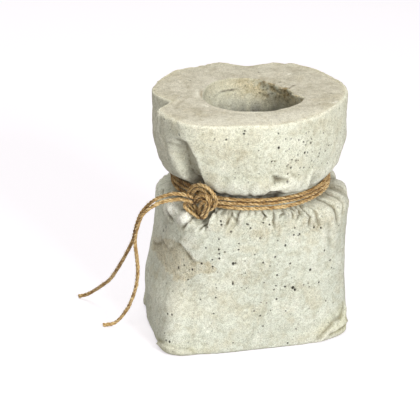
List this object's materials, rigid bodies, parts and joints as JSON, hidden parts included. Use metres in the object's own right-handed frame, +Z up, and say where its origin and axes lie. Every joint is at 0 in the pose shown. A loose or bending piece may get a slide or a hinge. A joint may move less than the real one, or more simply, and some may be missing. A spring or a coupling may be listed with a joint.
{
  "type": "tied-sack plaster casting with pocket",
  "caption": "Heavy cast vessel in the form of a cloth sack tied round its neck with twine, with a flat top and a round pocket that holds a plant, candle or cup.",
  "frame": {"origin": "middle of the casting's footprint box on the surface it stands on", "axes": "+Z up through the pocket's mouth, -Y the sack's front face, +X to the right seen from the front"},
  "size_m": [0.1823, 0.1354, 0.168],
  "materials": {
    "cast_plaster": "matte",
    "jute_twine": "matte"
  },
  "bodies": {
    "root": {"cast_body": "cast_plaster", "twine_turns": "jute_twine", "twine_knot": "jute_twine", "twine_tail_long": "jute_twine", "twine_tail_short": "jute_twine"}
  },
  "joints": []
}
